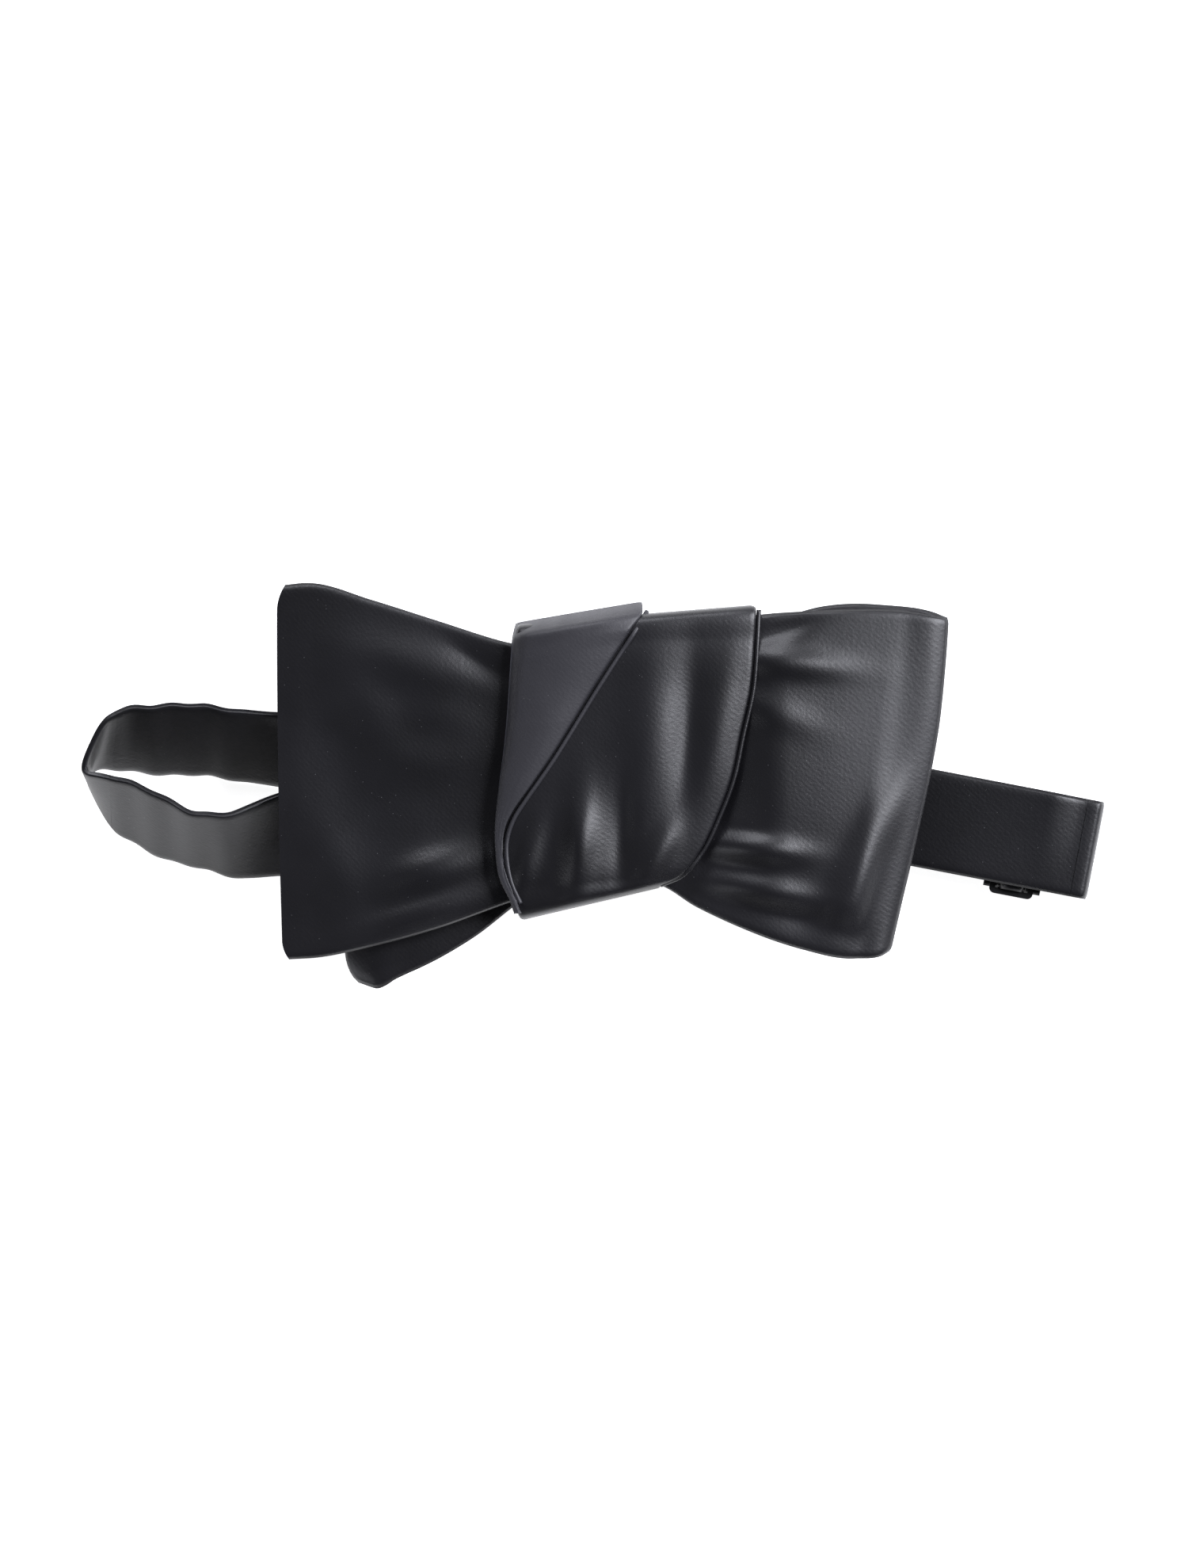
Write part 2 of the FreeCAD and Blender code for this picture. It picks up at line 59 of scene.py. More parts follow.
# ------------------------------------------------------------------------------------------------ materials
def satin(name, low, high, roughness, sheen, twill=0.15):
    """Black satin: a fine twill and grain, blotches where the threads lie differently, and lint."""
    m = bpy.data.materials.new(name)
    m.use_nodes = True
    nodes, links = m.node_tree.nodes, m.node_tree.links
    shader = nodes["Principled BSDF"]
    place = nodes.new("ShaderNodeTexCoord").outputs["Object"]
    shader.inputs["Specular IOR Level"].default_value = 0.62
    shader.inputs["Sheen Weight"].default_value = sheen
    shader.inputs["Sheen Roughness"].default_value = 0.35
    shader.inputs["Sheen Tint"].default_value = (0.80, 0.84, 1.0, 1)

    blotch = nodes.new("ShaderNodeTexNoise")
    blotch.inputs["Scale"].default_value = 38
    blotch.inputs["Detail"].default_value = 3
    links.new(place, blotch.inputs["Vector"])
    ramp = nodes.new("ShaderNodeValToRGB")
    ramp.color_ramp.elements[0].position = 0.35
    ramp.color_ramp.elements[1].position = 0.68
    ramp.color_ramp.elements[0].color = (*low, 1)
    ramp.color_ramp.elements[1].color = (*high, 1)
    links.new(blotch.outputs["Fac"], ramp.inputs["Fac"])

    lint = nodes.new("ShaderNodeTexVoronoi")
    lint.inputs["Scale"].default_value = 620
    links.new(place, lint.inputs["Vector"])
    speck = nodes.new("ShaderNodeMath")
    speck.operation = "LESS_THAN"
    speck.inputs[1].default_value = 0.045
    links.new(lint.outputs["Distance"], speck.inputs[0])
    mix = nodes.new("ShaderNodeMix")
    mix.data_type = "RGBA"
    mix.inputs["B"].default_value = (0.09, 0.09, 0.095, 1)
    links.new(speck.outputs[0], mix.inputs["Factor"])
    links.new(ramp.outputs["Color"], mix.inputs["A"])
    links.new(mix.outputs["Result"], shader.inputs["Base Color"])

    rough = nodes.new("ShaderNodeMapRange")
    rough.inputs["To Min"].default_value = roughness - 0.05
    rough.inputs["To Max"].default_value = roughness + 0.07
    links.new(blotch.outputs["Fac"], rough.inputs["Value"])
    links.new(rough.outputs["Result"], shader.inputs["Roughness"])

    wave = nodes.new("ShaderNodeTexWave")
    wave.bands_direction = "DIAGONAL"
    wave.inputs["Scale"].default_value = 640
    wave.inputs["Distortion"].default_value = 3.0
    wave.inputs["Detail Scale"].default_value = 4
    links.new(place, wave.inputs["Vector"])
    grain = nodes.new("ShaderNodeTexNoise")
    grain.inputs["Scale"].default_value = 1500
    links.new(place, grain.inputs["Vector"])
    both = nodes.new("ShaderNodeMath")
    both.operation = "MULTIPLY_ADD"
    both.inputs[1].default_value = 0.12
    links.new(wave.outputs["Fac"], both.inputs[0])
    links.new(grain.outputs["Fac"], both.inputs[2])
    bump = nodes.new("ShaderNodeBump")
    bump.inputs["Strength"].default_value = twill
    bump.inputs["Distance"].default_value = 0.0002
    links.new(both.outputs[0], bump.inputs["Height"])
    links.new(bump.outputs["Normal"], shader.inputs["Normal"])
    return m


def plain(name, colour, roughness, metallic=0.0):
    """A plain surface whose roughness varies a little."""
    m = bpy.data.materials.new(name)
    m.use_nodes = True
    nodes, links = m.node_tree.nodes, m.node_tree.links
    shader = nodes["Principled BSDF"]
    shader.inputs["Base Color"].default_value = (*colour, 1)
    shader.inputs["Metallic"].default_value = metallic
    noise = nodes.new("ShaderNodeTexNoise")
    noise.inputs["Scale"].default_value = 300
    spread = nodes.new("ShaderNodeMapRange")
    spread.inputs["To Min"].default_value = roughness - 0.05
    spread.inputs["To Max"].default_value = roughness + 0.05
    links.new(noise.outputs["Fac"], spread.inputs["Value"])
    links.new(spread.outputs["Result"], shader.inputs["Roughness"])
    return m


SILK = satin("silk_satin", (0.0044, 0.0042, 0.0058), (0.0090, 0.0087, 0.0115), 0.40, 0.0)
# the lapel is the same black satin as the rest, given a much lighter colour: painted sheen, standing in for
# the brighter reflection off its twill running across
LAPEL_PAINTED_SHEEN = satin("silk_satin_lapel_painted_sheen", (0.025, 0.0245, 0.030), (0.033, 0.032, 0.038), 0.5, 0.08)
BAND = satin("silk_satin_band", (0.0030, 0.0029, 0.0042), (0.0060, 0.0058, 0.0080), 0.37, 0.0)
LINING = plain("interlining", (0.05, 0.05, 0.05), 0.9)
THREAD = plain("thread", (0.014, 0.014, 0.016), 0.7)
ENAMEL = plain("black_enamel", (0.012, 0.012, 0.013), 0.35)


# ------------------------------------------------------------------------------------------------ surfaces
def spline(points, count):
    """count points, evenly spaced along it, on a smooth curve through the points."""
    p = np.array(points, float)
    lengths = np.maximum(np.linalg.norm(np.diff(p, axis=0), axis=1), 1e-6)
    s = np.concatenate([[0], np.cumsum(lengths)])
    slope = np.gradient(p, s, axis=0)
    t = np.linspace(0, s[-1], count)
    i = np.clip(np.searchsorted(s, t, side="right") - 1, 0, len(p) - 2)
    h = (s[i + 1] - s[i])[:, None]
    x = ((t - s[i]) / h[:, 0])[:, None]
    a = 2 * x**3 - 3 * x**2 + 1
    b = x**3 - 2 * x**2 + x
    return a * p[i] + b * h * slope[i] + (1 - a) * p[i + 1] + (x**3 - x**2) * h * slope[i + 1]


def smooth(t):
    """0 below 0, 1 above 1, eased between."""
    t = np.clip(t, 0, 1)
    return t * t * (3 - 2 * t)


def surface(rows, nu, nv, curve=None):
    """nu by nv points between two edges. Each row is (one edge's point, the other's), in mm.

    curve, if given, moves the points in place, knowing how far across each is, from 0 to 1."""
    both = spline([[*low, *high] for low, high in rows], nu)
    v = np.linspace(0, 1, nv)[None, :, None]
    grid = both[:, None, :3] * (1 - v) + both[:, None, 3:] * v
    if curve is not None:
        curve(grid, v[:, :, 0])
    return grid


def normals(grid):
    """The surface's own direction upwards, at each point."""
    n = np.cross(np.gradient(grid, axis=0), np.gradient(grid, axis=1))
    return n / np.maximum(np.linalg.norm(n, axis=2, keepdims=True), 1e-9)


def add_mesh(name, vertices, faces, material):
    """A piece of the scene, from points in metres."""
    mesh = bpy.data.meshes.new(name)
    mesh.from_pydata([tuple(p) for p in vertices], [], faces)
    mesh.materials.append(material)
    mesh.validate()
    mesh.update()
    mesh.shade_smooth()
    piece = bpy.data.objects.new(name, mesh)
    bpy.context.scene.collection.objects.link(piece)
    return piece


def cloth(name, grid, thick, material, lips=0.0, ends=0.0):
    """A closed piece of cloth about the grid's surface, thinner at its edges.

    lips is the depth of the groove between its two sewn layers along the edges, ends the same at the ends."""
    n = normals(grid)
    nu, nv = grid.shape[:2]
    across = grid[:, -1] - grid[:, 0]
    across /= np.linalg.norm(across, axis=1, keepdims=True)
    along = np.gradient(grid, axis=0)
    along /= np.maximum(np.linalg.norm(along, axis=2, keepdims=True), 1e-9)
    half = np.full((nu, nv, 1), thick / 2)
    half[:, [0, -1]] *= 0.62
    half[:, [1, -2]] *= 0.9
    top, bottom = grid + n * half, grid - n * half
    groove_low, groove_high = grid[:, 0] + across * lips, grid[:, -1] - across * lips
    rings = []
    for i in range(nu):
        high, low = groove_high[i : i + 1], groove_low[i : i + 1]
        rings.append(np.concatenate([top[i], high, bottom[i, ::-1], low]))
    count = 2 * nv + 2
    vertices = np.concatenate(rings)
    faces = []
    for i in range(nu - 1):
        for j in range(count):
            k = (j + 1) % count
            faces.append((i * count + j, i * count + k, (i + 1) * count + k, (i + 1) * count + j))
    for end, inward in ((0, 1), (nu - 1, -1)):
        first = end * count
        middle = range(len(vertices), len(vertices) + nv)
        step = along[end] * inward * ends
        vertices = np.concatenate([vertices, grid[end] + step])
        loop_top = [first + j for j in range(nv)]
        loop_bottom = [first + count - 2 - j for j in range(nv)]
        for j in range(nv - 1):
            faces.append((loop_top[j], loop_top[j + 1], middle[j + 1], middle[j]))
            faces.append((middle[j], middle[j + 1], loop_bottom[j + 1], loop_bottom[j]))
        faces.append((loop_top[0], middle[0], loop_bottom[0], first + count - 1))
        faces.append((loop_top[-1], first + nv, loop_bottom[-1], middle[-1]))
    piece = add_mesh(name, (vertices + OFFSET) * MM, faces, material)
    mesh_fix(piece)
    sharp = piece.data.attributes.new("sharp_edge", "BOOLEAN", "EDGE")
    rims = (range(count), range((nu - 1) * count, nu * count))
    for edge in piece.data.edges:
        a, b = edge.vertices
        if any(a in rim and b in rim for rim in rims):
            sharp.data[edge.index].value = True
    return piece


def mesh_fix(piece):
    """Makes every face look outwards."""
    b = bmesh.new()
    b.from_mesh(piece.data)
    bmesh.ops.recalc_face_normals(b, faces=b.faces)
    b.to_mesh(piece.data)
    b.free()


def bump(x, y, cx, cy, length, width, angle):
    """A soft ridge, 1 at its middle: length and width are its half sizes, angle its direction from +X."""
    a = math.radians(angle)
    u = (x - cx) * math.cos(a) + (y - cy) * math.sin(a)
    w = -(x - cx) * math.sin(a) + (y - cy) * math.cos(a)
    return np.exp(-((u / length) ** 2) - (w / width) ** 2)


def sculpt(grid, ridges, where):
    """Lifts the grid by ridges, as much as where says: 0 for not at all, 1 for their full height.

    A ridge is (height, x, y, half length, half width, angle), in mm and degrees."""
    out = grid.copy()
    lift = np.zeros(grid.shape[:2])
    for height, *shape in ridges:
        lift += height * bump(grid[:, :, 0], grid[:, :, 1], *shape)
    out[:, :, 2] += lift * where
    return out


def lining(name, grid, thick, body, node, inset=0.09):
    """The interlining inside a piece of cloth, on the same surface."""
    nu, nv = grid.shape[:2]
    iu, iv = max(1, int(nu * inset * 0.4)), max(1, int(nv * inset))
    piece = cloth(name, grid[iu : nu - iu : 2, iv : nv - iv : 2], thick, LINING)
    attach(piece, body)
    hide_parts(node)
    return piece


def declare(piece, body, node):
    """Attaches a sheet of silk to the body it rides on, if one is given, and hides the CAD node it stands
    for. A blended one has no body.
    """
    if body:
        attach(piece, body)
    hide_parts(node)


# ------------------------------------------------------------------------------------------------ bow
def front_bow():
    """Blade on the left, across under the knot, out to the loop's fold on the right and back."""
    rows = [
        ((-56.0, -31.6, 15.4), (-57.0, 35.9, 15.6)),
        ((-50.0, -31.3, 15.7), (-50.5, 36.2, 16.0)),
        ((-40.0, -29.2, 16.2), (-40.0, 33.2, 16.6)),
        ((-28.5, -26.0, 16.8), (-28.0, 29.4, 17.2)),
        ((-14.2, -21.0, 17.2), (-14.0, 25.2, 17.6)),
        ((0.0, -17.0, 16.4), (0.0, 23.6, 17.0)),
        ((12.0, -18.2, 16.4), (12.0, 26.4, 17.2)),
        ((18.7, -22.2, 16.8), (22.0, 29.2, 17.4)),
        ((26.5, -25.8, 17.8), (31.0, 30.5, 18.8)),
        ((38.0, -29.8, 17.6), (44.0, 31.3, 18.4)),
        ((47.0, -31.4, 16.6), (56.0, 31.2, 17.0)),
        ((52.0, -30.8, 15.8), (62.3, 30.2, 16.0)),
        ((53.0, -30.0, 15.0), (63.5, 30.0, 15.3)),
        ((51.5, -29.6, 13.8), (61.5, 31.0, 14.0)),
        ((45.0, -29.0, 13.2), (52.0, 32.4, 13.6)),
        ((34.0, -25.0, 13.4), (42.0, 32.2, 13.8)),
        ((20.0, -16.0, 14.0), (26.0, 27.0, 14.2)),
        ((8.0, -10.0, 14.4), (8.0, 22.0, 14.4)),
    ]

    across = 110

    def shape(grid, v):
        """Bows the right-hand fold outwards, and rounds the blade's two corners."""
        x = grid[:, :, 0]
        fold = np.clip((x - 40) / 20, 0, 1)
        x += 2.0 * np.sin(np.pi * v) ** 0.9 * fold**2
        corner = np.clip((v - 0.93) / 0.07, 0, 1) + np.clip((0.05 - v) / 0.05, 0, 1)
        edge = np.clip((-52.5 - x) / 4.5, 0, 1)
        x += edge * corner**2 * 1.5
        x -= edge * np.sin(np.pi * v) * 0.24

    grid = surface(rows, 300, across, shape)
    upper = np.ones(grid.shape[:2])  # 1 on the front layer, 0 on the layer behind the fold
    turn = int(np.argmax(grid[:, -1, 0]))
    upper[turn - 3 :] = 0
    upper[turn - 17 : turn - 3] = 1 - smooth(np.linspace(0, 1, 14))[:, None]
    puff = np.sin(np.pi * np.linspace(0, 1, across)) ** 0.8
    x = grid[:, :, 0]
    left = 0.5 * smooth((-18 - x) / 20) * smooth((60 + x) / 8)
    right = 2.5 * smooth((x - 20) / 15) * np.clip((68 - x) / 36, 0, 1)
    grid[:, :, 2] += upper * puff[None, :] * (left + right)
    ridges = [
        # left wing: soft folds that fan out from the knot
        (1.0, -33.0, 21.5, 12, 4.4, -14),
        (-0.6, -21.0, 22.0, 6, 2.2, -30),
        (0.5, -26.0, 12.0, 7, 4.0, -14),
        (0.5, -30.0, 4.5, 12, 4.0, 5),
        (1.7, -29.0, -15.5, 9.0, 3.6, 16),
        (1.2, -30.0, -23.0, 13, 2.4, 17),
        (0.7, -41.0, 14.0, 9, 5.0, -60),
        (0.6, -47.0, -14.0, 10, 5.0, -70),
        (-0.5, -45.0, 5.0, 10, 10.0, 0),
        # right wing: creases at the knot's edge, and a rounded bend from the right edge to the lower corner
        (-0.8, 34.0, 27.6, 6, 2.0, 20),
        (1.0, 35.0, 21.8, 10, 2.4, -6),
        (0.5, 32.0, 13.0, 8, 2.8, -20),
        (2.3, 57.0, -3.0, 9, 4.2, 56),
        (2.1, 48.0, -18.0, 12, 4.4, 64),
        (1.6, 28.0, -11.5, 9, 2.2, -6),
        (1.3, 30.0, -19.2, 10, 2.2, -10),
        (-0.9, 38.0, -24.4, 13, 3.0, -16),
    ]
    grid = sculpt(grid, ridges, upper)
    piece = cloth("front_bow", grid, 1.8, SILK, lips=0.55, ends=0.5)
    declare(piece, "bow", "front_bow_silk")
    lining("front_bow_lining", grid, 0.7, "bow", "front_bow_interlining")


def back_bow():
    """Loop on the left, whose lower corner shows below the front blade, and a blade hidden on the right."""
    rows = [
        ((12.0, -12.0, 8.8), (10.0, 20.0, 8.8)),
        ((-14.0, -18.0, 9.0), (-14.0, 20.0, 9.0)),
        ((-30.0, -29.0, 9.2), (-30.0, 21.0, 9.4)),
        ((-40.0, -36.0, 9.8), (-38.0, 23.0, 10.0)),
        ((-44.6, -35.6, 11.0), (-43.5, 24.0, 11.4)),
        ((-41.0, -36.9, 12.2), (-39.0, 23.8, 13.0)),
        ((-33.0, -34.0, 12.8), (-33.0, 22.5, 13.2)),
        ((-22.0, -28.0, 12.8), (-22.0, 21.5, 13.2)),
        ((-12.0, -20.5, 12.2), (-12.0, 20.0, 12.8)),
        ((10.0, -12.6, 12.2), (10.0, 20.0, 12.4)),
        ((30.0, -22.0, 11.8), (30.0, 24.0, 11.8)),
        ((47.0, -25.5, 10.8), (50.0, 26.5, 10.8)),
    ]

    def shape(grid, v):
        """Rounds the loop's lower corner."""
        x = grid[:, :, 0]
        x += 2.4 * np.clip((0.10 - v) / 0.10, 0, 1) ** 2 * np.clip((-36 - x) / 6, 0, 1)

    grid = surface(rows, 170, 60, shape)
    piece = cloth("back_bow", grid, 1.6, SILK, lips=0.4, ends=0.4)
    declare(piece, "bow", "back_bow_silk")
    lining("back_bow_lining", grid, 0.6, "bow", "back_bow_interlining")


# ------------------------------------------------------------------------------------------------ knot
WRAP_FRONT = [  # left edge, then right edge, down the front of the knot
    ((-13.6, 27.9), (29.2, 31.3)),
    ((-13.9, 24.6), (28.9, 25.8)),
    ((-14.6, 16.0), (28.2, 17.0)),
    ((-15.2, 8.5), (26.4, 8.8)),
    ((-16.2, 1.0), (24.6, 0.6)),
    ((-16.6, -6.0), (22.0, -6.2)),
    ((-16.2, -12.0), (19.2, -12.0)),
    ((-15.0, -18.5), (15.8, -16.2)),
    ((-13.3, -23.5), (12.2, -17.8)),
]


def knot_wrap():
    """The strip round the middle: flat and wide on top, gathered into long soft folds towards the bottom."""
    rows = [
        ((-11.0, 2.0, 7.0), (15.0, 3.0, 7.0)),
        ((-11.0, 18.0, 7.0), (19.0, 19.0, 7.0)),
        ((-12.0, 25.0, 7.6), (24.0, 28.0, 7.8)),
        ((-13.0, 28.0, 10.5), (27.5, 31.0, 10.5)),
        ((-13.4, 28.2, 14.0), (28.6, 31.6, 14.0)),
        ((-13.5, 28.3, 18.2), (29.0, 31.7, 18.4)),
    ]
    crown = [20.3, 20.8, 20.9, 21.0, 21.0, 20.9, 20.8, 20.6, 20.0]
    rows += [((*left, z), (*right, z)) for (left, right), z in zip(WRAP_FRONT, crown)]
    rows += [
        ((-13.0, -24.0, 17.4), (12.0, -18.2, 17.4)),
        ((-12.6, -23.8, 13.0), (11.6, -17.9, 13.0)),
        ((-11.6, -22.4, 9.0), (11.6, -17.0, 9.0)),
        ((-11.0, -18.0, 7.0), (13.0, -14.0, 7.0)),
        ((-11.0, 1.2, 7.0), (15.0, 2.2, 7.0)),
    ]
    across = 110
    grid = surface(rows, 230, across)
    upper = np.clip((grid[:, :, 2] - 15) / 4.0, 0, 1)
    grid[:, :, 2] += upper * 1.6 * np.sin(np.pi * np.linspace(0, 1, across)) ** 0.7
    ridges = [
        (0.9, 10.2, 10.0, 16, 4.6, 88),
        (-0.7, 16.8, 9.0, 13, 2.6, 86),
        (0.6, 22.5, 10.0, 14, 3.0, 80),
        (1.6, -2.4, -10.5, 9, 2.8, 86),
        (-0.8, 5.0, -9.0, 9, 2.4, 88),
        (0.8, -12.0, -14.0, 7, 2.0, 72),
        (1.0, 11.5, -13.0, 7, 2.4, 62),
    ]
    grid = sculpt(grid, ridges, upper)
    piece = cloth("knot_wrap", grid, 1.0, SILK, lips=0.3)
    declare(piece, "bow", "knot_wrap_silk")
    lining("knot_wrap_lining", grid, 0.4, "bow", "knot_wrap_interlining")
    return grid


LAPEL_ROWS = [  # left fold, then the sewn diagonal edge
    ((-13.9, 28.7), (8.8, 32.5)),
    ((-14.2, 27.4), (8.9, 31.2)),
    ((-14.6, 23.4), (6.4, 27.4)),
    ((-14.9, 19.0), (3.4, 22.8)),
    ((-15.2, 14.0), (-0.2, 17.2)),
    ((-15.6, 9.0), (-4.0, 11.0)),
    ((-16.1, 4.5), (-8.0, 4.6)),
    ((-16.7, 0.0), (-11.6, -0.6)),
    ((-17.1, -4.0), (-14.6, -5.0)),
    ((-17.4, -8.0), (-16.1, -8.6)),
    ((-17.3, -12.0), (-16.3, -12.6)),
    ((-16.7, -16.5), (-15.6, -16.8)),
    ((-14.9, -20.6), (-13.9, -20.8)),
    ((-13.9, -23.2), (-13.0, -23.2)),
]


def height_over(grid, x, y):
    """The top of the wrap's surface at (x, y), by its nearest points on the front."""
    points = grid.reshape(-1, 3)
    points = points[points[:, 2] > 15]
    out = np.empty(np.shape(x))
    for index in np.ndindex(out.shape):
        d = (points[:, 0] - x[index]) ** 2 + (points[:, 1] - y[index]) ** 2
        near = np.argpartition(d, 6)[:6]
        out[index] = points[near, 2].max()
    return out


def knot_lapel(wrap):
    """The wrap's left edge folded over to the front, with a roll along its sewn edge."""
    nu, nv = 120, 44
    grid = surface([((*left, 0), (*right, 0)) for left, right in LAPEL_ROWS], nu, nv)
    base = height_over(wrap, grid[::5, ::4, 0], grid[::5, ::4, 1])
    bu, bv = base.shape
    iu, iv = np.linspace(0, bu - 1, nu), np.linspace(0, bv - 1, nv)
    along = np.stack([np.interp(iu, np.arange(bu), column) for column in base.T], axis=1)
    full = np.stack([np.interp(iv, np.arange(bv), row) for row in along])
    v = np.linspace(0, 1, nv)[None, :]
    u = np.linspace(0, 1, nu)[:, None]
    wide = np.clip((grid[:, -1:, 0] - grid[:, :1, 0]) / 12, 0, 1)
    fold = 1.5 * wide * np.clip((0.13 - v) / 0.13, 0, 1) ** 2
    top = 1.3 * np.clip((0.025 - u) / 0.025, 0, 1) ** 1.5
    grid[:, :, 2] = full + 1.0 - fold - top + wide * 1.1 * np.sin(np.pi * v) ** 0.8
    # the lapel and its edge roll take the lighter lapel satin, whose colour is painted sheen
    piece = cloth("knot_lapel", grid, 0.8, LAPEL_PAINTED_SHEEN, lips=0.12)
    declare(piece, "bow", "knot_lapel_silk")
    points = grid[2::8, -1] + (0.75, -0.5, -0.45)  # just outside the edge and below it
    tube("knot_lapel_edge", points, 0.42, LAPEL_PAINTED_SHEEN, 0.9)


def tube(name, points, radius, material, flat):
    """A thin roll of cloth along the points, on the bow; flat squashes it in height."""
    path = spline(points, 14 * len(points))
    along = np.gradient(path, axis=0)
    along /= np.linalg.norm(along, axis=1, keepdims=True)
    side = np.cross(along, [0, 0, 1.0])
    side /= np.linalg.norm(side, axis=1, keepdims=True)
    up = np.cross(side, along)
    sides = 10
    rings = []
    for k in range(sides):
        a = 2 * math.pi * k / sides
        rings.append(path + side * (math.cos(a) * radius) + up * (math.sin(a) * radius * flat))
    rings = np.stack(rings, axis=1)
    n = len(path)
    faces = []
    for i in range(n - 1):
        for j in range(sides):
            k = (j + 1) % sides
            faces.append((i * sides + j, i * sides + k, (i + 1) * sides + k, (i + 1) * sides + j))
    faces.append(tuple(range(sides)))
    faces.append(tuple((n - 1) * sides + j for j in range(sides)))
    piece = add_mesh(name, (rings.reshape(-1, 3) + OFFSET) * MM, faces, material)
    mesh_fix(piece)
    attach(piece, "bow")


def wrap_edge(wrap):
    """The sewn right-hand edge of the wrap: its lower layer shows just outside the upper one."""
    points = [(right[0] + 0.6, right[1]) for _, right in WRAP_FRONT[:-1]]
    x, y = np.array([p[0] - 1.2 for p in points]), np.array([p[1] for p in points])
    z = height_over(wrap, x, y) - 0.35
    route = [(px, py, pz) for (px, py), pz in zip(points, z)] + [(12.2, -18.2, 17.6)]
    tube("knot_wrap_edge", route, 0.42, SILK, 0.8)


# ------------------------------------------------------------------------------------------------ neckband
LOOP = [  # the open left-hand end of the band: lower edge, then upper edge
    ((2.0, -6.8, 5.1), (2.0, 11.0, 5.1)),
    ((-12.0, -9.5, 5.1), (-12.0, 8.2, 5.1)),
    ((-25.0, -12.4, 4.5), (-25.0, 5.4, 5.6)),
    ((-44.0, -15.6, 1.9), (-44.0, 1.0, 7.4)),
    ((-57.0, -16.6, 0.7), (-57.0, -1.8, 10.2)),
    ((-66.0, -16.7, 0.6), (-66.2, -5.2, 13.0)),
    ((-73.2, -14.9, 0.6), (-71.5, -5.4, 13.8)),
    ((-82.0, -11.5, 0.6), (-80.0, -0.9, 14.2)),
    ((-87.2, -8.4, 0.6), (-87.0, 1.2, 14.2)),
    ((-90.4, -3.0, 0.6), (-92.0, 2.8, 14.0)),
    ((-92.0, 1.6, 0.6), (-90.4, 7.6, 14.0)),
    ((-89.6, 2.8, 0.6), (-87.9, 11.8, 14.0)),
    ((-85.8, 2.4, 0.6), (-84.6, 13.4, 13.8)),
    ((-79.3, 2.1, 0.6), (-79.0, 14.4, 13.4)),
    ((-68.0, 1.2, 0.6), (-68.0, 13.8, 13.0)),
    ((-57.0, -0.4, 0.6), (-57.0, 12.8, 12.0)),
    ((-44.0, -3.0, 0.6), (-44.0, 13.6, 7.0)),
    ((-30.0, -5.4, 0.6), (-30.0, 12.4, 2.6)),
    ((-15.0, -6.9, 0.6), (-14.2, 11.0, 0.6)),
    ((0.0, -8.3, 0.6), (1.4, 9.6, 0.6)),
    ((7.0, -8.9, 0.6), (8.4, 9.0, 0.6)),
]
LEFT_TIP_X = -87.0


def band_left():
    """The whole left-hand loop as one surface, cut into the front strap, the turn and the long strap."""
    grid = surface(LOOP, 330, 34)
    x = grid[:, :, 0]
    waves = 0.5 * np.sin(x * 0.42) + 0.35 * np.sin(x * 0.9 + 1.3)
    grid[:, :, 1] += waves * np.clip((-60 - x) / 10, 0, 1) * 0.5
    left_of = np.where(x.mean(axis=1) < LEFT_TIP_X)[0]
    first, last = left_of[0], left_of[-1]
    front = cloth("neckband_front_left", grid[: first + 1], BAND_THICK, BAND, lips=BAND_LIPS)
    declare(front, "bow", "front_left_strap_silk")
    turn = cloth("neckband_left_tip", grid[first : last + 1], BAND_THICK, BAND, lips=BAND_LIPS)
    declare(turn, None, "neckband_left_turn")
    back = cloth("neckband_long_strap", grid[last:], BAND_THICK, BAND, lips=BAND_LIPS)
    declare(back, "long_strap", "long_strap_silk")
    lining("front_left_lining", grid[: first + 1], 0.4, "bow", "front_left_strap_interlining")
    lining("long_strap_lining", grid[last:], 0.4, "long_strap", "long_strap_interlining")
    low, high = grid[first].mean(axis=0), grid[last].mean(axis=0)
    start, end = (low + OFFSET) * MM, (high + OFFSET) * MM
    start[2] = end[2]
    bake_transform(turn)


RIGHT_END = np.array([91.5, -12.2])  # outside of the right-hand fold, mid-band
RIGHT_ANGLE = math.radians(-10.9)
BAND_WIDTH = 18.0
RIGHT_ACROSS = 30  # points across each right-hand strip
ADJUSTER = -13.8  # middle of the adjuster, from the outside of the fold
HOOK_BAR = -52.0  # the hook's bar, from the same


def right_grid(profile, count, width=BAND_WIDTH, down=0.0, wobble=0.0):
    """A strip in the right-hand straps' frame, from (distance from the fold, height) points.

    down moves it towards its lower edge; wobble is the height of slight waves along it."""
    path = spline(profile, count)
    distance, height = path[:, :1], path[:, 1:]
    u = np.array([math.cos(RIGHT_ANGLE), math.sin(RIGHT_ANGLE)])
    w = np.array([-u[1], u[0]])
    v = np.linspace(-0.5, 0.5, RIGHT_ACROSS) * width - down
    grid = np.zeros((count, RIGHT_ACROSS, 3))
    grid[:, :, :2] = RIGHT_END + distance[:, :, None] * u + v[None, :, None] * w
    grid[:, :, 2] = height + wobble * np.sin(distance * 0.16) * np.cos(v * 0.12)
    return grid


